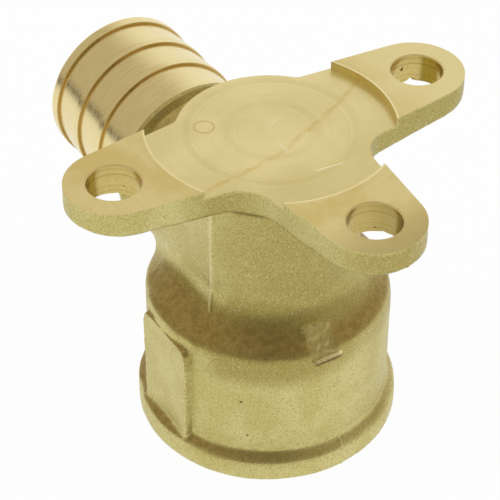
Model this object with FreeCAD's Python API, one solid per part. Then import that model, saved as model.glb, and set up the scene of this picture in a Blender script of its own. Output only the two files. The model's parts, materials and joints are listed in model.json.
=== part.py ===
import FreeCAD, Part

import math
import os

# Wall plate elbow: one cast brass fitting that brings a water pipe out of a wall.
# The threaded socket stands on the origin and opens downwards, and its axis is Z.
# The neck rises from the socket to a plate with three screw ears, whose tops lie against the wall.
# The barbed tail, which a plastic pipe is pushed over, leaves the neck along +Y.
# Lengths are in millimetres and angles in degrees.

# Socket: its thread's core, left plain here, sets the wall around it and the beaded rim
THREAD_CORE_RADIUS = 12.06
THREAD_DEPTH = 16.5
MOUTH_CHAMFER = 1.4
SOCKET_WALL = 3.64
SOCKET_RADIUS = THREAD_CORE_RADIUS + SOCKET_WALL
RIM_STEP = 1.3
RIM_RADIUS = SOCKET_RADIUS + RIM_STEP
RIM_HEIGHT = 3.0
RIM_SLOPE_HEIGHT = 1.1
RIM_EDGE_FILLET = 0.5
RIM_TOP_FILLET = 0.5
RIM_ROOT_FILLET = 0.8
SHOULDER_HEIGHT = 19.45
SHOULDER_ANGLE = 42.0
SHOULDER_EDGE_FILLET = 1.8
SHOULDER_ROOT_FILLET = 3.2

# Flat pad on the -X side of the socket wall
PAD_STEP = 0.1
PAD_DISTANCE = SOCKET_RADIUS + PAD_STEP
PAD_HALF_WIDTH = 5.0
PAD_CENTRE = -0.35
PAD_HEIGHT = 18.1
PAD_CORNER_FILLET = 1.2

# Barbed tail, measured from the face of its collar: the barbs suit the bore of a plastic pipe
TAIL_RISE = 7.4
TAIL_AXIS_HEIGHT = SHOULDER_HEIGHT + TAIL_RISE
TAIL_LENGTH = 19.85
BARB_RADIUS = 10.55
BARB_DEPTH = 0.34
BARB_COUNT = 3
BARB_PITCH = 5.69
BARB_LAND = 1.0
TAIL_ROOT_RADIUS = BARB_RADIUS - BARB_DEPTH
TAIL_WALL = 1.96
TAIL_BORE_RADIUS = TAIL_ROOT_RADIUS - TAIL_WALL
TIP_LAND = 1.81
TIP_FILLET = 0.6
TIP_MOUTH_CHAMFER = 0.6

# Boss that carries the tail, with the narrow collar that the pipe stops at
BOSS_MARGIN = 0.1
BOSS_RADIUS = BARB_RADIUS + BOSS_MARGIN
BOSS_ROOT_FILLET = 3.0
COLLAR_STEP = 0.7
COLLAR_RADIUS = BOSS_RADIUS + COLLAR_STEP
COLLAR_WIDTH = 0.8
COLLAR_REACH = 2.7
COLLAR_FACE = SOCKET_RADIUS + COLLAR_REACH
COLLAR_EDGE_FILLET = 0.25

# Neck, a little wider than the boss, with a flat cheek on each side and the waterway inside
CHEEK_MARGIN = 0.1
CHEEK_DISTANCE = BOSS_RADIUS + CHEEK_MARGIN
CHEEK_DEPTH = 0.55
CHEEK_RUN_OUT = 6.0
NECK_RADIUS = CHEEK_DISTANCE + CHEEK_DEPTH
NECK_WALL = 2.7
NECK_BORE_RADIUS = NECK_RADIUS - NECK_WALL
DRILL_POINT_ANGLE = 118.0

# Plate with its ears, one opposite the tail and one on each side
PLATE_RISE = 16.95
PLATE_HEIGHT = TAIL_AXIS_HEIGHT + PLATE_RISE
HUB_MARGIN = 0.3
HUB_RADIUS = NECK_RADIUS + HUB_MARGIN
RECESS_RADIUS = 15.2
RECESS_DEPTH = 1.0
EAR_ANGLES = (180.0, 270.0, 360.0)
EAR_TIP_MARGIN = 5.9
EAR_END_RADIUS = 6.2
EAR_TAPER = 6.0
EAR_TIP_THICKNESS = 3.2
EAR_DRAFT = 4.0
EAR_INNER_FILLET = 4.5
EAR_ROOT_FILLET = 1.6
EAR_COVE = 1.5
EAR_EDGE_FILLET = 0.5
HOLE_CIRCLE_RADIUS = 21.55
HOLE_RADIUS = 3.25
HOLE_CHAMFER = 0.15

# How near two lengths have to be to count as the same, and how many points of an edge are tried
SAME = 0.001
EDGE_SAMPLES = 7

ORIGIN = FreeCAD.Vector(0, 0, 0)
X_AXIS = FreeCAD.Vector(1, 0, 0)
Y_AXIS = FreeCAD.Vector(0, 1, 0)
Z_AXIS = FreeCAD.Vector(0, 0, 1)


def rounded_wire(corners):
    """Closed outline in the XY plane through corners (u, v, rounding), each with its own radius."""
    turns = []
    for index, (u, v, rounding) in enumerate(corners):
        before = corners[index - 1]
        after = corners[(index + 1) % len(corners)]
        corner = FreeCAD.Vector(u, v, 0)
        back = FreeCAD.Vector(before[0], before[1], 0) - corner
        ahead = FreeCAD.Vector(after[0], after[1], 0) - corner
        half_angle = back.getAngle(ahead) / 2
        back.normalize()
        ahead.normalize()
        inward = back + ahead
        inward.normalize()
        reach = rounding / math.tan(half_angle)
        middle = corner + inward * (rounding / math.sin(half_angle) - rounding)
        turns.append((corner + back * reach, middle, corner + ahead * reach))
    edges = []
    for index, (start, middle, end) in enumerate(turns):
        edges.append(Part.LineSegment(turns[index - 1][2], start).toShape())
        if start.distanceToPoint(end) > SAME:
            edges.append(Part.Arc(start, middle, end).toShape())
    return Part.Wire(edges)


def stood_up(corners):
    """Flat face from corners (u, height, rounding), standing in the XZ plane."""
    face = Part.Face(rounded_wire(corners))
    face.rotate(ORIGIN, X_AXIS, 90)
    return face


def turned(corners):
    """Solid of revolution about Z from a profile of corners (radius, height, rounding)."""
    return stood_up(corners).revolve(ORIGIN, Z_AXIS, 360)


def along_tail(shape):
    """Lay a solid that was turned about Z along the tail's axis, with its top at the tail's end."""
    shape.rotate(ORIGIN, X_AXIS, -90)
    shape.translate(Z_AXIS * TAIL_AXIS_HEIGHT)
    return shape


def shoulder_top():
    """Height where the slope of the shoulder would meet the neck."""
    return SHOULDER_HEIGHT + (SOCKET_RADIUS - NECK_RADIUS) * math.tan(math.radians(SHOULDER_ANGLE))


def face_height():
    """Height of the recess floor in the middle of the plate."""
    return PLATE_HEIGHT - RECESS_DEPTH


def drill_point(radius):
    """Length of the cone that a drill leaves at the end of a hole."""
    return radius / math.tan(math.radians(DRILL_POINT_ANGLE / 2))


def socket_and_neck():
    """Outside of the socket, its shoulder and the neck, which runs on past the plate to be trimmed."""
    neck_end = PLATE_HEIGHT + BOSS_RADIUS
    return turned([
        (0, 0, 0),
        (RIM_RADIUS, 0, RIM_EDGE_FILLET),
        (RIM_RADIUS, RIM_HEIGHT, RIM_TOP_FILLET),
        (SOCKET_RADIUS, RIM_HEIGHT + RIM_SLOPE_HEIGHT, RIM_ROOT_FILLET),
        (SOCKET_RADIUS, SHOULDER_HEIGHT, SHOULDER_EDGE_FILLET),
        (NECK_RADIUS, shoulder_top(), SHOULDER_ROOT_FILLET),
        (NECK_RADIUS, neck_end, 0),
        (0, neck_end, 0),
    ])


def above_plate():
    """Tool that trims the neck level with the recess floor."""
    return Part.makeCylinder(RIM_RADIUS, PLATE_HEIGHT, Z_AXIS * face_height())


def side_pad():
    """Flat pad on the side of the socket, rising from inside the rim to its rounded top corners."""
    inside_rim = RIM_HEIGHT / 2
    face = stood_up([
        (-PAD_HALF_WIDTH, inside_rim, 0),
        (PAD_HALF_WIDTH, inside_rim, 0),
        (PAD_HALF_WIDTH, PAD_HEIGHT, PAD_CORNER_FILLET),
        (-PAD_HALF_WIDTH, PAD_HEIGHT, PAD_CORNER_FILLET),
    ])
    pad = face.extrude(Y_AXIS * PAD_DISTANCE)
    pad.rotate(ORIGIN, Z_AXIS, 90)
    pad.translate(Y_AXIS * PAD_CENTRE)
    return pad


def cheek_cutter(turn):
    """Tool for a flat cheek on one side of the neck, which runs out on the shoulder's slope."""
    outside = SOCKET_RADIUS
    foot_angle = math.radians(SHOULDER_ANGLE - CHEEK_RUN_OUT)
    drop = (outside - CHEEK_DISTANCE) * math.tan(foot_angle)
    head = underside_height(NECK_RADIUS) - EAR_COVE
    face = stood_up([
        (CHEEK_DISTANCE, shoulder_top(), SHOULDER_ROOT_FILLET),
        (outside, shoulder_top() - drop, 0),
        (outside, head, 0),
        (CHEEK_DISTANCE, head, 0),
    ])
    face.translate(Y_AXIS * -NECK_RADIUS)
    tool = face.extrude(Y_AXIS * 2 * NECK_RADIUS)
    tool.rotate(ORIGIN, Z_AXIS, turn)
    return tool


def ear_reach():
    """Distance from the axis to the tip of an ear."""
    return HOLE_CIRCLE_RADIUS + EAR_TIP_MARGIN


def ear_heel():
    """Half-width that the tapered sides of an ear would reach at the axis."""
    taper = math.radians(EAR_TAPER)
    return EAR_END_RADIUS / math.cos(taper) + (ear_reach() - EAR_END_RADIUS) * math.tan(taper)


def ear(angle):
    """Tapered ear with a round end, as a tall prism turned to its angle in the plan."""
    taper = math.radians(EAR_TAPER)
    end_x = ear_reach() - EAR_END_RADIUS + EAR_END_RADIUS * math.sin(taper)
    end_y = EAR_END_RADIUS * math.cos(taper)
    heel_right = FreeCAD.Vector(0, -ear_heel(), 0)
    end_right = FreeCAD.Vector(end_x, -end_y, 0)
    tip = FreeCAD.Vector(ear_reach(), 0, 0)
    end_left = FreeCAD.Vector(end_x, end_y, 0)
    heel_left = FreeCAD.Vector(0, ear_heel(), 0)
    outline = Part.Wire([
        Part.LineSegment(heel_right, end_right).toShape(),
        Part.Arc(end_right, tip, end_left).toShape(),
        Part.LineSegment(end_left, heel_left).toShape(),
        Part.LineSegment(heel_left, heel_right).toShape(),
    ])
    prism = Part.Face(outline).extrude(Z_AXIS * PLATE_HEIGHT)
    prism.rotate(ORIGIN, Z_AXIS, angle)
    return prism


def underside_height(radius):
    """Height of the drafted underside of the plate at a distance from the axis."""
    tip_height = PLATE_HEIGHT - EAR_TIP_THICKNESS
    return tip_height - (ear_reach() - radius) * math.tan(math.radians(EAR_DRAFT))


def upright_edges(shape, distance):
    """Straight upright edges of a shape that stand at a distance from the axis."""
    found = []
    for edge in shape.Edges:
        ends = [vertex.Point for vertex in edge.Vertexes]
        if len(ends) != 2:
            continue
        shift = math.hypot(ends[1].x - ends[0].x, ends[1].y - ends[0].y)
        if shift < SAME and abs(math.hypot(ends[0].x, ends[0].y) - distance) < SAME:
            found.append(edge)
    return found


def plate_outline():
    """Outline of the plate as a tall prism: the ears and the hub, with rounded inner corners."""
    ears = ear(EAR_ANGLES[0])
    for angle in EAR_ANGLES[1:]:
        ears = ears.fuse(ear(angle))
    ears = ears.removeSplitter()
    inner_corner = ear_heel() / (1 + math.tan(math.radians(EAR_TAPER)))
    inner_edges = upright_edges(ears, math.hypot(inner_corner, inner_corner))
    ears = ears.makeFillet(EAR_INNER_FILLET, inner_edges)
    hub = Part.makeCylinder(HUB_RADIUS, PLATE_HEIGHT)
    outline = ears.fuse(hub).removeSplitter()
    return outline.makeFillet(EAR_ROOT_FILLET, upright_edges(outline, HUB_RADIUS))


def ear_lower_edges(shape):
    """Edges where the sides of the ears meet the drafted underside."""
    cove_end = NECK_RADIUS + EAR_COVE
    found = []
    for edge in shape.Edges:
        if edge.Degenerated:
            continue
        points = edge.discretize(EDGE_SAMPLES)
        radii = [math.hypot(point.x, point.y) for point in points]
        lifts = [abs(point.z - underside_height(radius)) for point, radius in zip(points, radii)]
        if max(lifts) < SAME and max(radii) > cove_end:
            found.append(edge)
    return found


def plate():
    """The ears and their hub: recessed on top, drafted underneath, and coved into the neck."""
    low = underside_height(NECK_RADIUS) - 2 * EAR_COVE
    blank = turned([
        (0, low, 0),
        (NECK_RADIUS, low, 0),
        (NECK_RADIUS, underside_height(NECK_RADIUS), EAR_COVE),
        (ear_reach(), underside_height(ear_reach()), 0),
        (ear_reach(), PLATE_HEIGHT, 0),
        (RECESS_RADIUS, PLATE_HEIGHT, 0),
        (RECESS_RADIUS, face_height(), 0),
        (0, face_height(), 0),
    ])
    shape = plate_outline().common(blank).removeSplitter()
    return shape.makeFillet(EAR_EDGE_FILLET, ear_lower_edges(shape))


def screw_hole(angle):
    """Tool for one screw hole, with a light chamfer at the top."""
    tool = turned([
        (0, underside_height(0), 0),
        (HOLE_RADIUS, underside_height(0), 0),
        (HOLE_RADIUS, PLATE_HEIGHT - HOLE_CHAMFER, 0),
        (HOLE_RADIUS + 2 * HOLE_CHAMFER, PLATE_HEIGHT + HOLE_CHAMFER, 0),
        (0, PLATE_HEIGHT + HOLE_CHAMFER, 0),
    ])
    tool.translate(X_AXIS * HOLE_CIRCLE_RADIUS)
    tool.rotate(ORIGIN, Z_AXIS, angle)
    return tool


def boss():
    """Cast boss of the tail with its collar, from the neck's axis out."""
    slope = COLLAR_RADIUS - BOSS_RADIUS
    return along_tail(turned([
        (0, 0, 0),
        (BOSS_RADIUS, 0, 0),
        (BOSS_RADIUS, COLLAR_FACE - COLLAR_WIDTH - slope, 0),
        (COLLAR_RADIUS, COLLAR_FACE - COLLAR_WIDTH, 0),
        (COLLAR_RADIUS, COLLAR_FACE, COLLAR_EDGE_FILLET),
        (0, COLLAR_FACE, 0),
    ]))


def tail():
    """Turned tail: each barb ramps up towards the boss, and drops off sharply on the boss's side."""
    start = COLLAR_FACE - COLLAR_WIDTH
    tip = COLLAR_FACE + TAIL_LENGTH
    corners = [
        (0, start, 0),
        (TAIL_ROOT_RADIUS, start, 0),
    ]
    for behind in reversed(range(BARB_COUNT)):
        step = tip - TIP_LAND - behind * BARB_PITCH
        corners.append((TAIL_ROOT_RADIUS, step, 0))
        corners.append((BARB_RADIUS, step, 0))
        if behind:
            corners.append((BARB_RADIUS, step + BARB_LAND, 0))
    corners.append((BARB_RADIUS, tip, TIP_FILLET))
    corners.append((0, tip, 0))
    return along_tail(turned(corners))


def socket_bore():
    """Tool for the socket's thread core and for the neck's waterway above it."""
    return turned([
        (0, 0, 0),
        (THREAD_CORE_RADIUS + MOUTH_CHAMFER, 0, 0),
        (THREAD_CORE_RADIUS, MOUTH_CHAMFER, 0),
        (THREAD_CORE_RADIUS, THREAD_DEPTH, 0),
        (NECK_BORE_RADIUS, THREAD_DEPTH, 0),
        (NECK_BORE_RADIUS, TAIL_AXIS_HEIGHT, 0),
        (0, TAIL_AXIS_HEIGHT + drill_point(NECK_BORE_RADIUS), 0),
    ])


def tail_bore():
    """Tool for the tail's waterway, from its chamfered mouth to the neck's axis."""
    tip = COLLAR_FACE + TAIL_LENGTH
    return along_tail(turned([
        (0, -drill_point(TAIL_BORE_RADIUS), 0),
        (TAIL_BORE_RADIUS, 0, 0),
        (TAIL_BORE_RADIUS, tip - TIP_MOUTH_CHAMFER, 0),
        (TAIL_BORE_RADIUS + TIP_MOUTH_CHAMFER, tip, 0),
        (0, tip, 0),
    ]))


def boss_root_edges(shape):
    """Edges where the round side of the boss meets the neck, the shoulder and the socket wall."""
    found = []
    for face in shape.Faces:
        surface = face.Surface
        if not isinstance(surface, Part.Cylinder) or abs(surface.Axis.y) < 1 - SAME:
            continue
        if abs(surface.Radius - BOSS_RADIUS) > SAME:
            continue
        for edge in face.Edges:
            along = [point.y for point in edge.discretize(EDGE_SAMPLES)]
            is_seam = isinstance(edge.Curve, Part.Line)
            if not is_seam and max(along) - min(along) > SAME:
                found.append(edge)
    return found


def elbow_body():
    """The whole casting, with its turned and drilled places."""
    casting = socket_and_neck().fuse(boss()).removeSplitter()
    casting = casting.makeFillet(BOSS_ROOT_FILLET, boss_root_edges(casting))
    casting = casting.cut(above_plate()).fuse([side_pad(), plate()])
    casting = casting.cut([cheek_cutter(0), cheek_cutter(180)])
    casting = casting.fuse(tail()).removeSplitter()
    holes = [screw_hole(angle) for angle in EAR_ANGLES]
    casting = casting.cut(holes + [socket_bore(), tail_bore()])
    return casting.removeSplitter().Solids[0]


os.makedirs("parts", exist_ok=True)
body = elbow_body()
body.exportStep("parts/elbow_body.step")
print("elbow_body is", body.ShapeType, "valid", body.isValid(), "volume", round(body.Volume, 1))
print("centre of mass", [round(value, 2) for value in body.CenterOfMass])
box = body.BoundBox
print("size", [round(length, 2) for length in (box.XLength, box.YLength, box.ZLength)])
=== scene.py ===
# %% [markdown]
# # A cast brass wall plate elbow
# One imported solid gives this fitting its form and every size. The lesson adds what a solid leaves out: the pipe
# thread in the socket, the small unevenness of a casting, the scar where the metal was poured in, and one finish
# for each way the brass was worked, by the mould, the lathe and the drill.

import json
import math

import bmesh
import bpy
from mathutils import Matrix, Vector, noise


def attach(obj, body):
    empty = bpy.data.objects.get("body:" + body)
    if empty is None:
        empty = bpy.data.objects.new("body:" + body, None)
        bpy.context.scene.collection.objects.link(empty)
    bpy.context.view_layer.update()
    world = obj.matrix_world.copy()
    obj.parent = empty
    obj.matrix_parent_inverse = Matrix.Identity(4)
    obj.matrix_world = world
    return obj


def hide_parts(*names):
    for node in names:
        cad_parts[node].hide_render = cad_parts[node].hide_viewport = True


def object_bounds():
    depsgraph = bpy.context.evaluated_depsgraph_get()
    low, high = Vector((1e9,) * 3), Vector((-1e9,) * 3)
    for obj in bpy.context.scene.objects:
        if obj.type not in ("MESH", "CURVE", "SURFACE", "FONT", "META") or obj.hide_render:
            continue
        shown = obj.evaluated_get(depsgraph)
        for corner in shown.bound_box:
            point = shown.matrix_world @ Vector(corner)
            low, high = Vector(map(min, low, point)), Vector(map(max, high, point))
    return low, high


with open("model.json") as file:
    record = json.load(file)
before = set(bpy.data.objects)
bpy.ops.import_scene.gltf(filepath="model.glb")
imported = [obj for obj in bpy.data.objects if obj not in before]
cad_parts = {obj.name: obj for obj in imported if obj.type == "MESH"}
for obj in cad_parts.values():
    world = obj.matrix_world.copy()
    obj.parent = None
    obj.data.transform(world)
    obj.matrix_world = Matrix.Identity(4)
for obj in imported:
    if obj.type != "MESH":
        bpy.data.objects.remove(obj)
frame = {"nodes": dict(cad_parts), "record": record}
cad_low, cad_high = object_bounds()
cad_node = frame["nodes"]["elbow_body"]
print("frame box in metres", [round(value, 4) for value in (*cad_low, *cad_high)])

# %% [markdown]
# ## Sizes
# The record that came with the solid states where things are fixed to it: the holes, the bores and the faces. Those
# figures place everything below, so that nothing has to be measured twice. Only a few sizes that the record has no line
# for are given here.

# %% Read the sizes
MM = 0.001
HAIR = 0.02 * MM
mounts = {mount["name"]: mount for mount in frame["record"]["mounts"]}


def mount_radius(name):
    """Radius of a round mount in metres."""
    return mounts[name]["dims"]["r_mm"] * MM


thread_core = mount_radius("socket_thread")
tail_bore = mount_radius("tail_bore")
tail_height = mounts["tail_bore"]["pos_m"][2]
plate_top = mounts["wall_face"]["pos_m"][2]
hole_radius = mount_radius("front_ear_hole")
hole_reach = mounts["ear_screws"]["dims"]["spacing_x_mm"] * MM / 2
hole_centres = [Vector((-hole_reach, 0)), Vector((0, -hole_reach)), Vector((hole_reach, 0))]

RECESS_DEPTH = 1.0 * MM
RECESS_RADIUS = 15.2 * MM
COLLAR_FACE = 18.4 * MM
SOCKET_DEPTH = 16.5 * MM
recess_floor = plate_top - RECESS_DEPTH
print("plate top at", plate_top, "tail axis at", tail_height, "holes at", hole_reach)

# %% [markdown]
# ## The casting
# On the bench this is one piece of metal, so it stays one mesh. It could be modelled again from nothing, but the solid
# is already true, so a copy of it is the stock that the next steps work on. The copy's triangles are loose, and
# merging their corners turns them into one closed skin.

# %% Copy the solid


def make_piece(name, shape):
    """Turn a bmesh into an object at the origin."""
    mesh = bpy.data.meshes.new(name)
    shape.to_mesh(mesh)
    shape.free()
    made = bpy.data.objects.new(name, mesh)
    bpy.context.scene.collection.objects.link(made)
    return made


stock = bmesh.new()
stock.from_mesh(cad_node.data)
bmesh.ops.remove_doubles(stock, verts=stock.verts, dist=0.001 * MM)
open_edges = [edge for edge in stock.edges if len(edge.link_faces) != 2]
print("stock", len(stock.faces), "triangles", len(open_edges), "open edges", stock.calc_volume() / MM**3, "mm3")
casting = make_piece("brass_elbow", stock)

# %% [markdown]
# ## The pipe thread
# The socket takes a parallel pipe thread, three-quarter inch, with fourteen turns to the inch and flanks at 55
# degrees. A picture of rings would do from far off, but a thread climbs, and its start shows at the mouth. So the
# groove is swept as a real tap would cut it: one flat outline of the groove is spun about the axis, climbing one pitch
# a turn, and the coil is then cut out of the casting.

# %% Cut the thread
INCH = 25.4 * MM
THREAD_PITCH = INCH / 14
THREAD_DEPTH = 1.162 * MM
THREAD_FLANK = math.radians(27.5)
THREAD_TURNS = 8
TURN_STEPS = 56

groove_foot = THREAD_PITCH / 12
groove_mouth = groove_foot + THREAD_DEPTH * math.tan(THREAD_FLANK)
inside = thread_core - 0.3 * MM
outline = [
    (inside, -groove_mouth),
    (thread_core, -groove_mouth),
    (thread_core + THREAD_DEPTH, -groove_foot),
    (thread_core + THREAD_DEPTH, groove_foot),
    (thread_core, groove_mouth),
    (inside, groove_mouth),
]
tap = bmesh.new()
tap.faces.new([tap.verts.new((radius, 0, height - THREAD_PITCH)) for radius, height in outline])
bmesh.ops.spin(
    tap,
    geom=tap.verts[:] + tap.edges[:] + tap.faces[:],
    cent=(0, 0, 0),
    axis=(0, 0, 1),
    dvec=(0, 0, THREAD_PITCH / TURN_STEPS),
    angle=2 * math.pi * THREAD_TURNS,
    steps=TURN_STEPS * THREAD_TURNS,
    use_merge=False,
)
bmesh.ops.recalc_face_normals(tap, faces=tap.faces)
tap_piece = make_piece("tap", tap)
cut = casting.modifiers.new("thread", "BOOLEAN")
cut.operation = "DIFFERENCE"
cut.solver = "EXACT"
cut.object = tap_piece
bpy.context.view_layer.update()
threaded = bpy.data.meshes.new_from_object(casting.evaluated_get(bpy.context.evaluated_depsgraph_get()))
casting.modifiers.clear()
casting.data = threaded
casting.data.materials.clear()
bpy.data.objects.remove(tap_piece)
print("threaded", len(threaded.polygons), "faces")

# %% [markdown]
# ## Which finish goes where
# The mould left most of the skin, and the tools took the rest: the lathe turned the tail, the plate, the tops of the
# ears and the rim's end, and drills made the holes. Faces could be picked by hand, but then a new pack would
# lose the choice. A rule for each worked place finds its faces from the sizes above, and what no rule claims is cast.

# %% Sort the faces
CAST, FACED, EAR_TOP, TURNED, STEPPED, BORED = range(6)
FINISH_NAMES = ["cast", "faced", "ear top", "turned", "stepped", "bored"]
HOLE_EDGE = 0.35 * MM
THREAD_EDGE = 1.5 * MM
DRILL_POINT = 6.0 * MM
NECK_BORE = 8.6 * MM
NECK_BORE_TOP = 33.0 * MM
SORT_LINE = Vector((0.31, 0.59, 0.74))


def axis_distance(spot):
    """Distance of a point from the socket's axis."""
    return math.hypot(spot.x, spot.y)


def tail_distance(spot):
    """Distance of a point from the tail's axis."""
    return math.hypot(spot.x, spot.z - tail_height)


def in_screw_hole(spot):
    """True in or on the edge of one of the screw holes."""
    flat = Vector((spot.x, spot.y))
    near = min((flat - centre).length for centre in hole_centres)
    return near < hole_radius + HOLE_EDGE and spot.z > tail_height


def in_waterway(spot):
    """True on the thread, in the neck's bore or in the tail's bore."""
    in_socket = spot.z < SOCKET_DEPTH + HAIR and axis_distance(spot) < thread_core + THREAD_EDGE
    in_neck = SOCKET_DEPTH - HAIR < spot.z < NECK_BORE_TOP and axis_distance(spot) < NECK_BORE + HAIR
    in_tail = spot.y > -DRILL_POINT and tail_distance(spot) < tail_bore + HAIR
    return in_socket or in_neck or in_tail


def finish_at(spot, facing):
    """The finish of a face, from its middle and the way it faces."""
    if in_screw_hole(spot) and facing.z < 0.3:
        return BORED
    if spot.z > plate_top - HAIR or in_screw_hole(spot):
        return EAR_TOP
    on_floor = facing.z > 0.99 and abs(spot.z - recess_floor) < HAIR
    looks_in = facing.x * spot.x + facing.y * spot.y < -0.9 * axis_distance(spot)
    on_step = spot.z > recess_floor and abs(axis_distance(spot) - RECESS_RADIUS) < 5 * HAIR
    if on_floor or (on_step and looks_in):
        return FACED
    if in_waterway(spot) and spot.z > HAIR:
        return BORED
    if spot.y > COLLAR_FACE + HAIR and facing.y < -0.3:
        return STEPPED
    if spot.y > COLLAR_FACE - HAIR or spot.z < HAIR:
        return TURNED
    return CAST


shape = bmesh.new()
shape.from_mesh(casting.data)
painted_shade_and_highlight = shape.verts.layers.float.new("painted_shade_and_highlight")
front_shade_and_stain = shape.verts.layers.float.new("front_shade_and_stain")
bmesh.ops.remove_doubles(shape, verts=shape.verts, dist=0.001 * MM)
shape.verts.sort(key=lambda point: point.co.dot(SORT_LINE))
shape.faces.sort(key=lambda face: face.calc_center_median().dot(SORT_LINE))
bmesh.ops.triangulate(shape, faces=shape.faces)
shape.edges.sort(key=lambda edge: (edge.verts[0].co + edge.verts[1].co).dot(SORT_LINE))
for face in shape.faces:
    face.material_index = finish_at(face.calc_center_median(), face.normal)
    face.smooth = True
counts = [sum(face.material_index == index for face in shape.faces) for index in range(len(FINISH_NAMES))]
print("faces by finish", dict(zip(FINISH_NAMES, counts)))

# %% [markdown]
# ## An even skin
# The solid's triangles are long and thin, because flat and round faces need no more. A casting is uneven everywhere,
# and unevenness needs points to move. Cutting every edge at once would leave folded triangles, so each round halves
# at most one edge of a triangle, the longest, and joins its middle to the corner across. The skin stays closed.

# %% Split the long edges
LONGEST = 0.7 * MM
MOST_ROUNDS = 40
LONGEST_AT_MARKS = 0.28 * MM
LONGEST_AT_LINES = 0.14 * MM
GATE_PLACE = Vector((-1.6, -14.0, 20.6)) * MM
GATE_ROOM = 4.6 * MM
LIP_PLACE = Vector((-1.6, -15.68, 17.95)) * MM
LIP_ROOM = Vector((2.8, 1.0, 0.8)) * MM
BURR_ROOM = 1.2 * MM
RIDGE_ROOM = 0.6 * MM
SEAM_PLACE = 0.6 * MM
SEAM_ROOM = 0.7 * MM
CHEEK_DISTANCE = 10.75 * MM
NECK_RADIUS = 11.3 * MM
RIDGE_RUN = Vector((0.54, -0.84))
RIDGE_FOOT = 22.6 * MM
RIDGE_LONG = 2.2 * MM


def is_cast(element):
    """True if every face around an edge or a corner is cast."""
    return all(face.material_index == CAST for face in element.link_faces)


def hole_gap(spot):
    """Distance of a point outside the nearest screw hole, on the underside of the ears."""
    if not tail_height < spot.z < recess_floor:
        return 1.0
    return min((Vector((spot.x, spot.y)) - centre).length for centre in hole_centres) - hole_radius


def ridge_gap(spot):
    """Distance from the fin that stands at each front corner of the neck, between the cheek and the round."""
    across = abs(spot.x) - CHEEK_DISTANCE
    along = spot.y + math.sqrt(NECK_RADIUS**2 - CHEEK_DISTANCE**2)
    out = across * RIDGE_RUN.x + along * RIDGE_RUN.y
    if spot.z < RIDGE_FOOT or not -RIDGE_ROOM < out < RIDGE_LONG:
        return 1.0
    return abs(across * RIDGE_RUN.y - along * RIDGE_RUN.x)


def near_mark(spot):
    """True near the gate, the seam of the mould, a fin or a screw hole, where the skin has small forms."""
    near_gate = (spot - GATE_PLACE).length < GATE_ROOM
    near_seam = abs(spot.x - SEAM_PLACE) < SEAM_ROOM and spot.y < -SEAM_ROOM
    return near_gate or near_seam or ridge_gap(spot) < SEAM_ROOM or hole_gap(spot) < BURR_ROOM


def near_line(spot):
    """True near the lip of the gate or right at a fin, where the forms are finest."""
    apart = spot - LIP_PLACE
    near_lip = all(abs(gap) < room for gap, room in zip(apart, LIP_ROOM))
    return near_lip or ridge_gap(spot) < RIDGE_ROOM


def touches_cast(edge):
    """True if a face at an edge is cast."""
    return any(face.material_index == CAST for face in edge.link_faces)


def middle_of(edge):
    """The point half-way along an edge."""
    return (edge.verts[0].co + edge.verts[1].co) / 2


def split_long(limit, where=None):
    """Halve the cast edges longer than a limit, in rounds of at most one edge to a triangle."""
    for _ in range(MOST_ROUNDS):
        shape.edges.index_update()
        waiting = {}
        for edge in shape.edges:
            length = edge.calc_length()
            if length > limit and touches_cast(edge) and (where is None or where(middle_of(edge))):
                waiting[edge] = (length, edge.index)
        if not waiting:
            break
        chosen = []
        for edge, rank in waiting.items():
            rivals = [other for face in edge.link_faces for other in face.edges if other in waiting]
            if all(waiting[other] <= rank for other in rivals):
                chosen.append(edge)
        bmesh.ops.subdivide_edges(shape, edges=chosen, cuts=1, use_single_edge=True)


split_long(LONGEST)
print("even skin", len(shape.faces), "triangles")

# %% [markdown]
# ## Soft edges
# Sand cannot hold a crisp corner, so most cast edges come out a little round, the cove above the shoulder most of all
# and the pad least. A bevel would need each edge to be picked. Smoothing moves each cast point towards its neighbours,
# which does nothing on a flat and wears a corner down. The boss keeps its form, and so does the collar. Places with
# small marks are split finer only after that.

# %% Wear the corners down
WEAR_ALL = 3
WEAR_PAD = 2
WEAR_BANDS = [(1.8, 6.0, 11), (16.0, 26.0, 14), (20.2, 28.5, 34)]
PAD_FROM = -14.5 * MM
PAD_FOOT = 3.0 * MM
PAD_MIDDLE = -0.35 * MM
PAD_HALF_WIDTH = 5.6 * MM
BOSS_FROM = 8.0 * MM


def on_pad(spot):
    """True on the flat pad at the side of the socket."""
    return spot.x < PAD_FROM and spot.z > PAD_FOOT and abs(spot.y - PAD_MIDDLE) < PAD_HALF_WIDTH


def wear(points, passes):
    """Move points towards their neighbours a number of times."""
    for _ in range(passes):
        bmesh.ops.smooth_vert(
            shape,
            verts=points,
            factor=0.5,
            use_axis_x=True,
            use_axis_y=True,
            use_axis_z=True,
        )


worn_points = [point for point in shape.verts if is_cast(point) and point.co.y < BOSS_FROM]
pad_points = [point for point in worn_points if on_pad(point.co)]
wear(pad_points, WEAR_PAD)
round_points = [point for point in worn_points if not on_pad(point.co)]
wear(round_points, WEAR_ALL)
for low, high, passes in WEAR_BANDS:
    wear([point for point in round_points if low * MM <= point.co.z <= high * MM], passes)
split_long(LONGEST_AT_MARKS, near_mark)
split_long(LONGEST_AT_LINES, near_line)
print("worn skin", len(shape.faces), "triangles")

# %% [markdown]
# ## Uneven as cast
# Sand leaves a skin that swells and sinks by a few hundredths of a millimetre, a low seam where the mould's halves met,
# a fin at each front corner of the neck, and a burr where the drill came out under each ear. Bump in the material
# never shows on an outline. Moving each cast point along its normal does, and the points on the border of a machined
# face stay where the tool left them, apart from those of the burrs.

# %% Let the skin swell and sink
BROAD_SWELL = 0.07 * MM
BROAD_SIZE = 4.5 * MM
SMALL_SWELL = 0.025 * MM
SMALL_SIZE = 1.3 * MM

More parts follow.
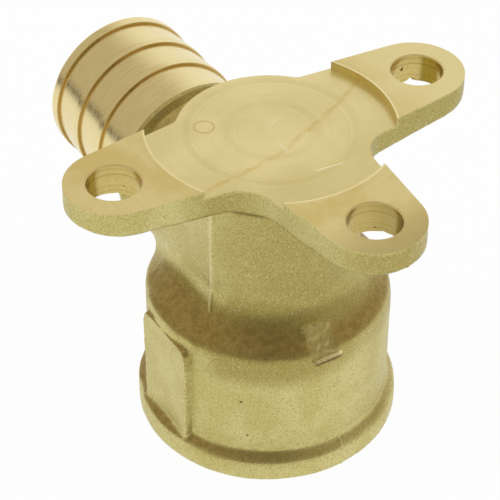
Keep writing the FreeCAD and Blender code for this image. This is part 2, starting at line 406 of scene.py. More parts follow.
SEAM_STANDS = 0.11 * MM
SEAM_HALF_WIDTH = 0.3 * MM
SEAM_HIDDEN = (5.0 * MM, 25.0 * MM)
RIDGE_STANDS = 0.13 * MM
RIDGE_HALF_WIDTH = 0.36 * MM
BURR_STANDS = 0.42 * MM
BURR_WIDTH = 0.6 * MM


def fade(distance, edge, border):
    """One inside an edge, none beyond it, and a smooth change across its border."""
    share = min(1.0, max(0.0, (edge - distance) / border))
    return share * share * (3 - 2 * share)


shape.normal_update()
cast_points = [point for point in shape.verts if is_cast(point)]
swells = []
for point in cast_points:
    spot = point.co
    stands = noise.noise(spot / BROAD_SIZE) * BROAD_SWELL + noise.noise(spot / SMALL_SIZE) * SMALL_SWELL
    if spot.y < 0 and not SEAM_HIDDEN[0] < spot.z < SEAM_HIDDEN[1]:
        stands += fade(abs(spot.x - SEAM_PLACE), SEAM_HALF_WIDTH, SEAM_HALF_WIDTH) * SEAM_STANDS
    stands += fade(ridge_gap(spot), RIDGE_HALF_WIDTH, RIDGE_HALF_WIDTH) * RIDGE_STANDS
    burr = fade(max(0.0, hole_gap(spot)), BURR_WIDTH, BURR_WIDTH) * BURR_STANDS
    swells.append((point, point.normal * stands + Vector((0, 0, -burr))))
for point in shape.verts:
    finishes = {face.material_index for face in point.link_faces}
    if finishes == {CAST, BORED} and abs(hole_gap(point.co)) < HOLE_EDGE:
        swells.append((point, Vector((0, 0, -BURR_STANDS))))
for point, swell in swells:
    point.co += swell
    point.co.z = max(point.co.z, cad_low.z)
print("moved", len(swells), "cast points by up to", max(swell.length for _, swell in swells) / MM, "mm")

# %% [markdown]
# ## The scar of the gate
# Metal ran into the mould through a gate on the front of the shoulder, and breaking it off left a small rough flat with
# a torn border and a thin lip along its foot. It could be a separate lump, but a lump has a join. The points of the
# skin are drawn towards the flat instead, fully in the middle and less towards its border. The seed fixes the tear.

# %% Draw the scar
GATE_OUT = Vector((-0.12, -1, 0.8)).normalized()
GATE_UP = Vector((0, 0.8, 1)).normalized()
GATE_HALF_WIDTH = 2.2 * MM
GATE_HIGH = 2.4 * MM
GATE_LOW = 2.8 * MM
GATE_BORDER = 0.8 * MM
GATE_LIP = 0.15 * MM
GATE_STANDS = 0.08 * MM
GATE_TEAR = 0.09 * MM
GATE_TEAR_SIZE = 0.6 * MM
GATE_SEED = 4
GATE_WANDER = 0.5 * MM
GATE_WANDER_SIZE = 1.1 * MM
LIP_STANDS = 0.25 * MM
LIP_RISE = 0.45 * MM
LIP_ASIDE = 0.5 * MM
LEDGE_HALF = 0.2 * MM
UNDER_HALF = 0.13 * MM
LIP_FADE = 0.12 * MM


def gate_shares(spot):
    """How far a point belongs to the scar, to the lip at its foot and to the hollow under the lip."""
    offset = spot - GATE_PLACE
    if offset.length > GATE_ROOM:
        return 0.0, 0.0, 0.0
    torn = offset + noise.noise_vector(spot / GATE_WANDER_SIZE) * GATE_WANDER
    across = fade(abs(torn.x), GATE_HALF_WIDTH, GATE_BORDER)
    height = offset.dot(GATE_UP)
    scar = across * fade(torn.dot(GATE_UP), GATE_HIGH, GATE_BORDER) * fade(-height, GATE_LOW, GATE_LIP)
    above_lip = height + GATE_LOW
    along = fade(abs(torn.x - LIP_ASIDE), GATE_HALF_WIDTH, GATE_BORDER)
    lip = along * fade(abs(above_lip - LEDGE_HALF), LEDGE_HALF + LIP_FADE, LIP_FADE)
    under = along * fade(abs(above_lip + UNDER_HALF), UNDER_HALF + LIP_FADE, LIP_FADE)
    return scar, lip, under


noise.seed_set(GATE_SEED)
gate_points = {}
for point in cast_points:
    scar, lip, under = gate_points[point] = gate_shares(point.co)
    tear = noise.noise(point.co / GATE_TEAR_SIZE) * GATE_TEAR
    out = (point.co - GATE_PLACE).dot(GATE_OUT)
    above_lip = (point.co - GATE_PLACE).dot(GATE_UP) + GATE_LOW
    rise = LIP_STANDS * fade(above_lip, LIP_RISE, LIP_RISE)
    point.co += GATE_OUT * (GATE_STANDS + rise + tear * (1 - lip) - out) * scar
print("scar drawn near", [round(value / MM, 1) for value in GATE_PLACE])

# %% [markdown]
# ## Painted shade, painted highlights and a stain
# Slopes that face up are painted brown as shade, the bead and the top of the boss among them, with less of it on the
# scar of the gate. Neck faces that look to the front are painted a darker olive as shade, and a stain darkens a band
# round the shoulder. A mask in the material could ask which way the surface faces, but then every grain of bump would
# change it. So both shares are written on the points, once. The brown share runs past one for a painted shadow under
# the lip, and below nought for a painted highlight on the lip and on the fins.

# %% Write the painted shade, the painted highlights and the stain on the points
BROWN_FROM, BROWN_FULL = 0.35, 0.72
BROWN_FOOT = 15.6 * MM
BROWN_TOP = 22.4 * MM
BROWN_RISE = 1.6 * MM
BROWN_LEFT = (-4.0 * MM, 6.0 * MM)
BROWN_FADE = 1.8 * MM
STAIN_MIDDLE = 20.9 * MM
STAIN_REACH = 5.2 * MM
STAIN_FADE = 3.0 * MM
STAIN_LEFT = (6.0 * MM, 12.0 * MM)
STAIN_SPREAD = 1.6 * MM
STAIN_RIGHT = 0.5
CLEAN_SIDE = (-0.8, 0.15)
BEAD_TOP = 6.0 * MM
BEAD_SHARE = 0.5
BEAD_LEFT = (-8.0 * MM, 6.0 * MM)
BOSS_FADE = 3.0 * MM
BOSS_SHARE = 0.75
GATE_LESS_SHADE = 0.5
# Share of painted highlight on the fins.
RIDGE_HIGHLIGHT = 0.4
NECK_FOOT = 24.0 * MM
NECK_FADE = 3.0 * MM
LEFT_EAR = -12.0 * MM
LEFT_FADE = 6.0 * MM
# Painted shadow under the lip: the brown share there goes up to this.
LIP_SHADOW = 2.0
FRONT_SHADE_SHARE = 0.85
FRONT_SIDE = Vector((-0.2, -0.98, 0))

shape.normal_update()
for point in cast_points:
    spot, facing = point.co, point.normal
    scar, lip, under = gate_points[point]
    # Painted shade: faces that tilt up are painted brown, fading in with the tilt.
    brown = fade(1 - facing.z, 1 - BROWN_FROM, BROWN_FULL - BROWN_FROM)
    stain = 0.0
    if spot.z < BEAD_TOP:
        brown *= BEAD_SHARE + (1 - BEAD_SHARE) * fade(spot.x, *BEAD_LEFT)
    elif spot.y < BOSS_FROM:
        brown_top = BROWN_TOP + BROWN_RISE * fade(spot.x, *BROWN_LEFT)
        brown *= fade(spot.z, brown_top, BROWN_FADE) * fade(-spot.z, -BROWN_FOOT, BROWN_FADE)
        left = fade(spot.x, *STAIN_LEFT)
        stain = fade(abs(spot.z - STAIN_MIDDLE), STAIN_REACH + STAIN_SPREAD * left, STAIN_FADE)
        stain *= (STAIN_RIGHT + (1 - STAIN_RIGHT) * left) * (1 - fade(facing.x, *CLEAN_SIDE))
    else:
        # Painted shade: the top of the boss is painted brown where it faces up.
        brown = (1 - fade(spot.y, BOSS_FROM, BOSS_FADE)) * max(0.0, facing.z) * BOSS_SHARE
    ridge = fade(ridge_gap(spot), RIDGE_HALF_WIDTH, RIDGE_HALF_WIDTH)
    # Painted highlight on the lip and on the fins, which also clears the painted shade there.
    painted_highlight = max(lip, RIDGE_HIGHLIGHT * ridge)
    # The painted shadow under the lip pushes the share past one.
    point[painted_shade_and_highlight] = brown * (1 - GATE_LESS_SHADE * scar) * (1 - painted_highlight) * (1 - under) + LIP_SHADOW * under - painted_highlight
    # Painted shade on neck faces that look to the front, not on the left and not at the fins.
    front = max(0.0, facing.dot(FRONT_SIDE)) * FRONT_SHADE_SHARE * (1 - fade(spot.x, LEFT_EAR, LEFT_FADE))
    front *= (1 - fade(spot.z, NECK_FOOT, NECK_FADE)) * (1 - fade(ridge_gap(spot), RIDGE_ROOM, RIDGE_ROOM))
    point[front_shade_and_stain] = max(front, stain * (1 - scar)) * (1 - lip)
print("brown points", sum(point[painted_shade_and_highlight] > 0.5 for point in cast_points), "of", len(cast_points))

# %% [markdown]
# ## Crisp where a tool cut
# Smooth shading runs across every edge unless it is told to stop. A casting has no crisp edges, so there it only stops
# at steep folds. On the tail the ramps and lands of the barbs meet at a few degrees, and the lathe left those rings
# crisp, so each ring edge of the tail is marked even where the fold is slight.

# %% Mark the sharp edges
STEEP_FOLD = math.radians(32)
RING_FOLD = math.radians(3)

shape.normal_update()
sharp = 0
for edge in shape.edges:
    fold = edge.calc_face_angle(0.0)
    finishes = {face.material_index for face in edge.link_faces}
    on_ring = finishes == {TURNED} and abs(edge.verts[0].co.y - edge.verts[1].co.y) < HAIR / 10
    edge.smooth = edge.smooth and not (fold > STEEP_FOLD or (on_ring and fold > RING_FOLD))
    sharp += not edge.smooth
print("sharp edges", sharp, "of", len(shape.edges))
shape.to_mesh(casting.data)
shape.free()
casting.data.update()

# %% [markdown]
# ## Building finishes from nodes
# Every finish is the same alloy with another history, so they share a few helpers: one adds a node and fills its
# sockets, one blends two colours, and one starts a brass with its own roughness. Colours are written as they look on
# a screen and turned into the linear values that the shader works in.

# %% Helpers for finishes


def screen(red, green, blue):
    """A colour given as it looks on a screen, 0 to 255, as the shader's linear one."""
    linear = []
    for value in (red, green, blue):
        share = value / 255
        linear.append(share / 12.92 if share <= 0.04045 else ((share + 0.055) / 1.055) ** 2.4)
    return (*linear, 1.0)


def add(tree, kind, inputs=None, **settings):
    """Add a node, set its own settings, and fill its inputs with values or with other nodes' outputs."""
    made = tree.nodes.new(kind)
    for name, value in settings.items():
        setattr(made, name, value)
    for name, value in (inputs or {}).items():
        if isinstance(value, bpy.types.NodeSocket):
            tree.links.new(value, made.inputs[name])
        else:
            made.inputs[name].default_value = value
    return made


def maths(tree, operation, first, second=0.0, third=0.0):
    """One sum on numbers."""
    return add(tree, "ShaderNodeMath", {0: first, 1: second, 2: third}, operation=operation).outputs[0]


def ramp(tree, value, low, high, to_low=0.0, to_high=1.0):
    """A smooth change from one value to another as the input goes from low to high."""
    inputs = {"Value": value, "From Min": low, "From Max": high, "To Min": to_low, "To Max": to_high}
    return add(tree, "ShaderNodeMapRange", inputs, interpolation_type="SMOOTHSTEP").outputs["Result"]


def blend(tree, share, first, second, mode="MIX"):
    """Two colours, mixed by a share."""
    made = add(tree, "ShaderNodeMix", {0: share, 6: first, 7: second}, data_type="RGBA", blend_type=mode)
    return made.outputs[2]


def grain(tree, place, size, detail=3.0, rough=0.55):
    """Even noise whose bumps are about this size in metres."""
    inputs = {"Vector": place, "Scale": 1 / size, "Detail": detail, "Roughness": rough}
    return add(tree, "ShaderNodeTexNoise", inputs).outputs["Fac"]


def relief(tree, height, depth, strength, under=None):
    """Bump from a height, on top of another bump if one is given."""
    inputs = {"Height": height, "Distance": depth, "Strength": strength}
    if under is not None:
        inputs["Normal"] = under
    return add(tree, "ShaderNodeBump", inputs).outputs["Normal"]


def start_brass(name):
    """A bare brass with its tree, its shader and its place on the object."""
    material = bpy.data.materials.new(name)
    material.use_nodes = True
    tree = material.node_tree
    shader = tree.nodes["Principled BSDF"]
    shader.inputs["Metallic"].default_value = 1.0
    place = add(tree, "ShaderNodeTexCoord").outputs["Object"]
    return material, tree, shader, place


print("helpers ready")

# %% [markdown]
# ## The blasted casting
# Shot blasting leaves cast brass olive and satin, with a fine even grain, a few dark pits where sand stuck, and
# patches that took the blast differently. Grain comes twice, as colour and as bump, from the same noise, so that each
# hollow is also the darker spot.

# %% Finish: blasted casting


def blasted_casting():
    """Olive satin brass with a fine grain, patches, a stain, slopes painted brown as shade, a painted shadow, painted
    highlights and a few pits.
    """
    material, tree, shader, place = start_brass("blasted_casting")
    fine = grain(tree, place, 0.2 * MM, 2.0)
    coarse = grain(tree, place, 0.9 * MM, 3.0)
    patches = grain(tree, place, 5.0 * MM, 4.0)
    brown = add(tree, "ShaderNodeAttribute", attribute_name="painted_shade_and_highlight").outputs["Fac"]
    shade_stain_share = add(tree, "ShaderNodeAttribute", attribute_name="front_shade_and_stain").outputs["Fac"]
    cells = add(tree, "ShaderNodeTexVoronoi", {"Vector": place, "Scale": 1 / (3.4 * MM)}).outputs["Distance"]
    chosen = ramp(tree, grain(tree, place, 4.1 * MM, 0.0), 0.56, 0.62)
    pits = maths(tree, "MULTIPLY", ramp(tree, cells, 0.09, 0.03), chosen)
    colour = blend(tree, ramp(tree, patches, 0.35, 0.65), screen(203, 191, 120), screen(214, 204, 138))
    # Painted shade on the front faces, and the stain band, both in dark olive.
    colour = blend(tree, shade_stain_share, colour, screen(176, 161, 91))
    # Painted shade: the brown of the up-facing slopes.
    slope_shade = blend(tree, ramp(tree, coarse, 0.35, 0.65), screen(164, 140, 74), screen(184, 160, 92))
    colour = blend(tree, brown, colour, slope_shade)
    # Painted shadow in the hollow under the lip.
    colour = blend(tree, ramp(tree, brown, 1.0, LIP_SHADOW), colour, screen(112, 92, 50))
    # Painted highlight on the lip and the fins.
    colour = blend(tree, ramp(tree, brown, 0.0, -1.0), colour, screen(244, 236, 190))
    colour = blend(tree, ramp(tree, fine, 0.5, 0.28, 0.0, 0.52), colour, screen(146, 128, 70))
    pale = maths(tree, "MULTIPLY", ramp(tree, fine, 0.52, 0.72, 0.0, 0.36), ramp(tree, brown, 0.0, 1.0, 1.0, 0.5))
    colour = blend(tree, pale, colour, screen(234, 226, 174))
    colour = blend(tree, pits, colour, screen(118, 98, 54))
    tree.links.new(colour, shader.inputs["Base Color"])
    tree.links.new(ramp(tree, fine, 0.3, 0.7, 0.48, 0.40), shader.inputs["Roughness"])
    tree.links.new(ramp(tree, brown, 0.0, 1.0, 1.0, 0.7), shader.inputs["Metallic"])
    skin = relief(tree, coarse, 0.06 * MM, 0.3)
    skin = relief(tree, fine, 0.04 * MM, 0.48, skin)
    skin = relief(tree, maths(tree, "SUBTRACT", 1.0, pits), 0.10 * MM, 0.6, skin)
    tree.links.new(skin, shader.inputs["Normal"])
    return material


# %% [markdown]
# ## The faced plate
# A broad cutter faced the middle of the plate in one turn about the socket's axis. It left rings finer than the eye
# can part, a few deeper ones, some scratches from the next part in the crate, and a golden streak where coolant dried.
# Rings come from the distance to the axis, so they stay round from any side.

# %% Finish: faced plate
RING_PITCH = 0.28 * MM
DEEP_RINGS = (5.5 * MM, 10.4 * MM)
STREAK_BEND = (-3.7 * MM, 0.31, 10.2)
SCRATCHES = [((0.8, 1.05), 27, 1.0), ((-0.5, -3.4), 84, 0.8), ((2.0, -9.6), -7, 1.6)]
OVAL_PLACE = (-6.44 * MM, 4.86 * MM, 0)
OVAL_RADIUS = 1.2 * MM
PLATE_SHADE_FRONT = (-3 * MM, -13 * MM)


def in_band(tree, value, half_width, border):
    """One where a value is within a half-width of nothing, fading across a border."""
    return ramp(tree, maths(tree, "ABSOLUTE", value), half_width + border, half_width)


def scratch(tree, place, middle, turn, half_length):
    """Mask of one straight scratch on the plate, placed in millimetres and degrees."""
    inputs = {
        "Vector": place,
        "Location": (middle[0] * MM, middle[1] * MM, 0),
        "Rotation": (0, 0, math.radians(turn)),
    }
    local = add(tree, "ShaderNodeMapping", inputs, vector_type="TEXTURE").outputs["Vector"]
    parts = add(tree, "ShaderNodeSeparateXYZ", {0: local}).outputs
    along = in_band(tree, parts["X"], half_length * MM, 0.3 * MM)
    across = in_band(tree, parts["Y"], 0.02 * MM, 0.06 * MM)
    return maths(tree, "MULTIPLY", along, across)


def faced_plate():
    """Pale straw brass with rings about the socket's axis, scratches and a dried streak."""
    material, tree, shader, place = start_brass("faced_plate")
    parts = add(tree, "ShaderNodeSeparateXYZ", {0: place}).outputs
    flat = add(tree, "ShaderNodeCombineXYZ", {0: parts["X"], 1: parts["Y"]}).outputs[0]
    radius = add(tree, "ShaderNodeVectorMath", {0: flat}, operation="LENGTH").outputs["Value"]
    wander = grain(tree, place, 4.0 * MM, 3.0)
    turns = {"W": radius, "Scale": 1 / RING_PITCH, "Detail": 2.0}
    rings = add(tree, "ShaderNodeTexNoise", turns, noise_dimensions="1D").outputs["Fac"]
    deep = 0.0
    for deep_radius in DEEP_RINGS:
        apart = maths(tree, "SUBTRACT", radius, deep_radius)
        deep = maths(tree, "ADD", in_band(tree, apart, 0.2 * MM, 0.6 * MM), deep)
    deep = maths(tree, "MULTIPLY", deep, ramp(tree, wander, 0.3, 0.65, 0.4, 1.0))
    start, slope, curve = STREAK_BEND
    bend = maths(tree, "MULTIPLY_ADD", parts["X"], maths(tree, "MULTIPLY_ADD", parts["X"], curve, slope), start)
    sway = maths(tree, "MULTIPLY_ADD", wander, 1.6 * MM, -0.8 * MM)
    streak = in_band(tree, maths(tree, "ADD", maths(tree, "SUBTRACT", parts["Y"], bend), sway), 0.1 * MM, 0.5 * MM)
    streak = maths(tree, "MULTIPLY", streak, ramp(tree, grain(tree, place, 2.5 * MM), 0.35, 0.6, 0.1, 0.5))
    marks = 0.0
    for middle, turn, half_length in SCRATCHES:
        marks = maths(tree, "ADD", scratch(tree, place, middle, turn, half_length), marks)
    cloud = grain(tree, place, 9.0 * MM, 4.0)
    colour = blend(tree, ramp(tree, cloud, 0.35, 0.65), screen(230, 216, 156), screen(238, 225, 168))
    colour = blend(tree, ramp(tree, rings, 0.5, 0.3, 0.0, 0.2), colour, screen(214, 198, 134))
    from_oval = add(tree, "ShaderNodeVectorMath", {0: flat, 1: OVAL_PLACE}, operation="DISTANCE").outputs["Value"]
    oval = in_band(tree, maths(tree, "SUBTRACT", from_oval, OVAL_RADIUS), 0.05 * MM, 0.2 * MM)
    oval = maths(tree, "MULTIPLY", oval, ramp(tree, wander, 0.35, 0.6, 0.25, 0.7))
    colour = blend(tree, maths(tree, "MULTIPLY", deep, 0.3), colour, screen(208, 192, 128))
    # Painted shade: the plate gets darker towards the front.
    colour = blend(tree, ramp(tree, parts["Y"], *PLATE_SHADE_FRONT, 0.0, 0.4), colour, screen(208, 192, 126))
    colour = blend(tree, oval, colour, screen(204, 180, 112))
    colour = blend(tree, streak, colour, screen(216, 184, 104))
    colour = blend(tree, marks, colour, screen(248, 242, 214))
    tree.links.new(colour, shader.inputs["Base Color"])
    tree.links.new(ramp(tree, cloud, 0.3, 0.7, 0.30, 0.38), shader.inputs["Roughness"])
    skin = relief(tree, rings, 0.012 * MM, 0.25)
    skin = relief(tree, maths(tree, "SUBTRACT", 1.0, maths(tree, "ADD", deep, marks)), 0.04 * MM, 0.5, skin)
    tree.links.new(skin, shader.inputs["Normal"])
    return material


# %% [markdown]
# ## The ears
# The same lathe took a faster, coarser cut over the tops of the ears, so their rings are wider than those of the plate
# and the metal between them looks darker. The rings have uneven depth, which a noise that only knows the radius gives:
# it is the same all the way round, as a cutter's marks are.

# %% Finish: turned ears
EAR_RING = 0.24 * MM
EDGE_HIGHLIGHT_WIDTH = 0.3 * MM
EAR_SHADE_FRONT = (-19 * MM, -27 * MM)
EAR_LIGHT_RIGHT = (10 * MM, 22 * MM)


def turned_ears():
    """Tan brass with coarse rings about the socket's axis."""
    material, tree, shader, place = start_brass("turned_ears")
    parts = add(tree, "ShaderNodeSeparateXYZ", {0: place}).outputs
    flat = add(tree, "ShaderNodeCombineXYZ", {0: parts["X"], 1: parts["Y"]}).outputs[0]
    radius = add(tree, "ShaderNodeVectorMath", {0: flat}, operation="LENGTH").outputs["Value"]
    wander = maths(tree, "MULTIPLY_ADD", grain(tree, place, 3.0 * MM, 2.0), 0.3 * MM, radius)
    inputs = {"W": wander, "Scale": 1 / EAR_RING, "Detail": 2.0}
    rings = add(tree, "ShaderNodeTexNoise", inputs, noise_dimensions="1D").outputs["Fac"]
    cloud = grain(tree, place, 7.0 * MM, 4.0)
    colour = blend(tree, ramp(tree, cloud, 0.38, 0.62), screen(218, 198, 130), screen(227, 211, 151))
    colour = blend(tree, ramp(tree, rings, 0.5, 0.3, 0.0, 0.25), colour, screen(198, 178, 112))
    # Painted shade on the front ear and painted light on the right ear.
    colour = blend(tree, ramp(tree, parts["Y"], *EAR_SHADE_FRONT, 0.0, 0.8), colour, screen(184, 168, 112))
    colour = blend(tree, ramp(tree, parts["X"], *EAR_LIGHT_RIGHT, 0.0, 0.6), colour, screen(242, 230, 174))
    # Painted highlights: a pale line along the recess edge, and a pale, non-metallic ring round the top of each screw
    # hole.
    recess_edge_highlight = ramp(tree, radius, RECESS_RADIUS + EDGE_HIGHLIGHT_WIDTH, RECESS_RADIUS + EDGE_HIGHLIGHT_WIDTH / 2)
    hole_edge_highlight = ramp(tree, parts["Z"], plate_top - HAIR, plate_top - 2 * HAIR)
    colour = blend(tree, maths(tree, "MULTIPLY", recess_edge_highlight, 0.7), colour, screen(254, 242, 192))
    colour = blend(tree, hole_edge_highlight, colour, screen(236, 214, 148))
    tree.links.new(ramp(tree, hole_edge_highlight, 0.0, 1.0, 1.0, 0.0), shader.inputs["Metallic"])
    tree.links.new(colour, shader.inputs["Base Color"])
    tree.links.new(ramp(tree, rings, 0.3, 0.7, 0.40, 0.32), shader.inputs["Roughness"])
    skin = relief(tree, rings, 0.02 * MM, 0.3)
    tree.links.new(skin, shader.inputs["Normal"])
    return material


# %% [markdown]
# ## The turned tail
# The lathe left the tail bright, with a fine groove that runs round it. The groove is a band pattern along the tail's
# own axis, and shallow enough to only stretch the highlights.

# %% Finish: turned tail
TURNING_PITCH = 0.22 * MM


def turned_tail():
    """Bright brass with fine grooves round the tail."""
    material, tree, shader, place = start_brass("turned_tail")
    parts = add(tree, "ShaderNodeSeparateXYZ", {0: place}).outputs
    wander = grain(tree, place, 2.0 * MM, 3.0)
    turns = maths(tree, "MULTIPLY_ADD", wander, 2.0, maths(tree, "MULTIPLY", parts["Y"], 2 * math.pi / TURNING_PITCH))
    grooves = maths(tree, "MULTIPLY_ADD", maths(tree, "SINE", turns), 0.5, 0.5)
    stretched = add(tree, "ShaderNodeMapping", {"Vector": place, "Scale": (0.15, 1, 0.15)}).outputs["Vector"]
    drawn = grain(tree, stretched, 0.4 * MM, 4.0)
    colour = blend(tree, ramp(tree, drawn, 0.3, 0.7), screen(232, 214, 156), screen(238, 222, 166))
    tree.links.new(colour, shader.inputs["Base Color"])
    tree.links.new(ramp(tree, drawn, 0.3, 0.7, 0.21, 0.28), shader.inputs["Roughness"])
    skin = relief(tree, grooves, 0.004 * MM, 0.05)
    skin = relief(tree, drawn, 0.006 * MM, 0.02, skin)
    tree.links.new(skin, shader.inputs["Normal"])
    return material


# %% [markdown]
# ## The steps of the barbs
# The back of each barb is a narrow step that the tool only grazed. It is rougher than the ramps, painted brown as shade
# at its foot and given a painted highlight at its crest, so each barb ends in a thin dark ring. Left as bright as the
# ramps, it would mirror them and vanish.

# %% Finish: barb steps
STEP_SHADE = 0.3 * MM
barb_radius = mount_radius("tail_barbs")


def barb_steps():
    """Rough brass for the narrow steps behind the barbs, with painted shade in brown at the foot and a painted golden
    highlight at the crest.
    """
    material, tree, shader, place = start_brass("barb_steps")
    parts = add(tree, "ShaderNodeSeparateXYZ", {0: place}).outputs
    across = add(tree, "ShaderNodeCombineXYZ", {0: parts["X"], 2: parts["Z"]}).outputs[0]
    inputs = {0: across, 1: (0, 0, tail_height)}
    radius = add(tree, "ShaderNodeVectorMath", inputs, operation="DISTANCE").outputs["Value"]
    drawn = grain(tree, place, 0.5 * MM, 3.0)
    foot = blend(tree, ramp(tree, drawn, 0.3, 0.7), screen(202, 170, 104), screen(216, 186, 122))
    # Painted shade in brown at the step's foot, and a painted highlight at its crest.
    colour = blend(tree, ramp(tree, radius, barb_radius - STEP_SHADE, barb_radius), foot, screen(242, 220, 160))
    tree.links.new(colour, shader.inputs["Base Color"])
    tree.links.new(ramp(tree, drawn, 0.3, 0.7, 0.40, 0.50), shader.inputs["Roughness"])
    shader.inputs["Metallic"].default_value = 0.85
    tree.links.new(relief(tree, drawn, 0.01 * MM, 0.2), shader.inputs["Normal"])
    return material


# %% [markdown]
# ## The bored holes
# A drill leaves the brightest and yellowest metal of all, with brown pits where the casting was open underneath.

# %% Finish: bored holes
DRILL_RING = 0.35 * MM
HOLE_SHADE_FRONT = (-17 * MM, -20 * MM)


def bored_holes():
    """Bright yellow brass with the rings of the drill and a few brown pits."""
    material, tree, shader, place = start_brass("bored_holes")
    drawn = grain(tree, place, 0.5 * MM, 4.0)
    pits = ramp(tree, grain(tree, place, 0.9 * MM, 2.0), 0.69, 0.74)
    parts = add(tree, "ShaderNodeSeparateXYZ", {0: place}).outputs
    turns = {"W": parts["Z"], "Scale": 1 / DRILL_RING, "Detail": 1.0}
    rings = add(tree, "ShaderNodeTexNoise", turns, noise_dimensions="1D").outputs["Fac"]
    colour = blend(tree, ramp(tree, drawn, 0.3, 0.7), screen(196, 174, 104), screen(208, 188, 120))
    # Painted shade: the front hole gets darker towards the viewer.
    colour = blend(tree, ramp(tree, parts["Y"], *HOLE_SHADE_FRONT, 0.0, 0.8), colour, screen(166, 147, 84))
    colour = blend(tree, ramp(tree, rings, 0.45, 0.3, 0.0, 0.45), colour, screen(150, 126, 62))
    colour = blend(tree, pits, colour, screen(120, 88, 40))
    tree.links.new(colour, shader.inputs["Base Color"])
    tree.links.new(ramp(tree, drawn, 0.3, 0.7, 0.18, 0.26), shader.inputs["Roughness"])
    skin = relief(tree, drawn, 0.02 * MM, 0.3)
    tree.links.new(skin, shader.inputs["Normal"])
    return material


# %% [markdown]
# ## Dressing the casting
# The order of the finishes is the order of the numbers given to the faces. The dressed casting then takes the place of
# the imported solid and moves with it, as one piece of brass. Six separate pieces would open joins between them.

# %% Dress the casting
for finish in (blasted_casting, faced_plate, turned_ears, turned_tail, barb_steps, bored_holes):
    casting.data.materials.append(finish())
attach(casting, "root")
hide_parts("elbow_body")
print("finishes", [material.name for material in casting.data.materials])

# %% [markdown]
# ## The floor
# The part stands on white paper. A lit sheet would come out grey, so the paper shows white to the eye and to the metal,
# and a share of it stays plain paper, so that the shadow falls on it.

# %% Lay the floor
FLOOR_HALF = 3.0
SHOWN_WHITE = 0.97

paper = bmesh.new()
bmesh.ops.create_grid(paper, x_segments=1, y_segments=1, size=FLOOR_HALF)
bmesh.ops.translate(paper, verts=paper.verts, vec=(0, 0, cad_low.z))
floor = make_piece("paper_floor", paper)
white_paper = bpy.data.materials.new("white_paper")
white_paper.use_nodes = True
paper_tree = white_paper.node_tree
paper_tree.nodes.clear()
ray = add(paper_tree, "ShaderNodeLightPath").outputs
seen = maths(paper_tree, "MAXIMUM", ray["Is Camera Ray"], ray["Is Glossy Ray"])
seen = maths(paper_tree, "MAXIMUM", seen, ray["Is Transmission Ray"])
plain = add(paper_tree, "ShaderNodeBsdfDiffuse", {"Color": (0.92, 0.92, 0.92, 1)}).outputs[0]
shown = add(paper_tree, "ShaderNodeEmission", {"Color": (1, 1, 1, 1), "Strength": 1.0}).outputs[0]
white_share = maths(paper_tree, "MULTIPLY", seen, SHOWN_WHITE)
mixed = add(paper_tree, "ShaderNodeMixShader", {0: white_share, 1: plain, 2: shown})
add(paper_tree, "ShaderNodeOutputMaterial", {"Surface": mixed.outputs[0]})
floor.data.materials.append(white_paper)
print("floor at", floor.data.vertices[0].co.z)

# %% [markdown]
# ## The light
# Bare metal looks like what it faces, so the sky is drawn for the metal. It is warm and of a middle tone all round,
# bright and white behind the part to the right, dark high above the viewer, where the shoulder looks, and dim low on
# the viewer's side. Lamps alone would leave the slopes black. One large lamp above adds a soft shadow.

# %% Light the part
BRIGHT_SIDE = Vector((0.69, 0.72, 0.10)).normalized()
DARK_SIDE = Vector((-0.27, -0.42, 0.866)).normalized()
DIM_SIDE = Vector((-0.53, -0.83, 0.18)).normalized()
SKY_LEVEL = 0.58
SKY_DIMMER = 0.24
SKY_BRIGHTER = 0.40
SKY_DARK = 0.0
LAMP_PLACE = Vector((0, 0.15, 1.6))
LAMP_SIZE = 1.3
LAMP_POWER = 8.0

world = bpy.data.worlds.new("soft_sky")
bpy.context.scene.world = world
world.use_nodes = True
sky = world.node_tree
sky.nodes.clear()
direction = add(sky, "ShaderNodeTexCoord").outputs["Generated"]


def towards(side):
    """How nearly the sky's direction is that of a side, one straight at it."""
    inputs = {0: direction, 1: side}
    return add(sky, "ShaderNodeVectorMath", inputs, operation="DOT_PRODUCT").outputs["Value"]


brighter = towards(BRIGHT_SIDE)
darker = towards(DARK_SIDE)
dimmer = towards(DIM_SIDE)
bright_share = ramp(sky, brighter, 0.68, 0.98)
dark_share = ramp(sky, darker, 0.88, 0.985)
level = maths(sky, "MULTIPLY_ADD", bright_share, SKY_BRIGHTER, SKY_LEVEL)
level = maths(sky, "SUBTRACT", level, ramp(sky, dimmer, 0.55, 0.95, 0.0, SKY_DIMMER))
level = maths(sky, "MULTIPLY", level, ramp(sky, dark_share, 0.0, 1.0, 1.0, SKY_DARK))
tint = blend(sky, bright_share, (1.0, 0.91, 0.77, 1), (1, 1, 1, 1))
tint = blend(sky, dark_share, tint, (1.0, 0.78, 0.40, 1))
backdrop = add(sky, "ShaderNodeBackground", {"Color": tint, "Strength": level}).outputs[0]
add(sky, "ShaderNodeOutputWorld", {"Surface": backdrop})

lamp = bpy.data.lights.new("soft_box", "AREA")
lamp.size = LAMP_SIZE
lamp.energy = LAMP_POWER
soft_box = bpy.data.objects.new("soft_box", lamp)
soft_box.location = LAMP_PLACE
soft_box.rotation_euler = (-LAMP_PLACE).to_track_quat("-Z", "Y").to_euler()
bpy.context.scene.collection.objects.link(soft_box)
bpy.context.scene.view_settings.view_transform = "Standard"
print("sky from", SKY_DARK, "to", SKY_LEVEL + SKY_BRIGHTER)

# %% [markdown]
# ## The dark card
# A dark band runs slantwise along the turned tail. It is the mirror image of something dark at the edge of the paper.
# Painting it would fix it to the metal, so a low brown card stands there, out of sight and without a shadow.

# %% Stand a dark card beside the tail
CARD_PLACE = Vector((-159, 189, 0)) * MM
CARD_HALF_WIDTH = 125 * MM
CARD_HEIGHT = 29 * MM
CARD_TURN = math.atan2(CARD_PLACE.y, CARD_PLACE.x) + math.pi / 2

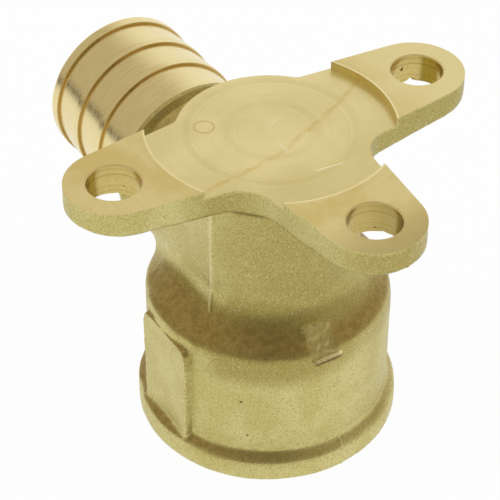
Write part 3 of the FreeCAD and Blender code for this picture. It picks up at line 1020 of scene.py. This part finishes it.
sheet = bmesh.new()
bmesh.ops.create_grid(sheet, x_segments=1, y_segments=1, size=1.0)
bmesh.ops.scale(sheet, vec=(CARD_HALF_WIDTH, CARD_HEIGHT / 2, 1), verts=sheet.verts)
stand = Matrix.Translation(CARD_PLACE + Vector((0, 0, cad_low.z + CARD_HEIGHT / 2)))
stand = stand @ Matrix.Rotation(CARD_TURN, 4, "Z") @ Matrix.Rotation(math.pi / 2, 4, "X")
bmesh.ops.transform(sheet, matrix=stand, verts=sheet.verts)
card = make_piece("dark_card", sheet)
card.visible_camera = False
card.visible_shadow = False
brown_card = bpy.data.materials.new("brown_card")
brown_card.use_nodes = True
brown_card.node_tree.nodes["Principled BSDF"].inputs["Base Color"].default_value = screen(90, 76, 52)
brown_card.node_tree.nodes["Principled BSDF"].inputs["Roughness"].default_value = 1.0
card.data.materials.append(brown_card)
print("card stands at", [round(value / MM) for value in CARD_PLACE])

# %% [markdown]
# ## The camera
# The photograph was taken from the front and above with a long lens. Its place and turn were found by matching the
# circles of the rim, the plate and the tail, and are written as the eye's place and the turn about three axes.

# %% Place the camera
AZIMUTH = math.radians(-32.717)
ELEVATION = math.radians(39.923)
ROLL = math.radians(0.512)
EYE_DISTANCE = 247.568 * MM
AIM = Vector((0, 0, 20)) * MM
SLIDE_RIGHT = 2.358 * MM
SLIDE_UP = -3.178 * MM
FOCAL_PIXELS = 1943.80
FRAME_PIXELS = 500

back = Vector((
    math.sin(AZIMUTH) * math.cos(ELEVATION),
    -math.cos(AZIMUTH) * math.cos(ELEVATION),
    math.sin(ELEVATION),
))
flat_right = Vector((math.cos(AZIMUTH), math.sin(AZIMUTH), 0))
flat_up = back.cross(flat_right)
right = flat_right * math.cos(ROLL) + flat_up * math.sin(ROLL)
up = flat_up * math.cos(ROLL) - flat_right * math.sin(ROLL)
view = bpy.data.cameras.new("view")
view.sensor_width = 36
view.lens = FOCAL_PIXELS / FRAME_PIXELS * view.sensor_width
view.clip_start = 0.01
view.clip_end = 20
camera = bpy.data.objects.new("view", view)
camera.rotation_mode = "QUATERNION"
camera.rotation_quaternion = Matrix((right, up, back)).transposed().to_quaternion()
camera.location = AIM + back * EYE_DISTANCE - right * SLIDE_RIGHT - up * SLIDE_UP
bpy.context.scene.collection.objects.link(camera)
bpy.context.scene.camera = camera
print("eye at", [round(value / MM, 2) for value in camera.location], "lens", round(view.lens, 2))
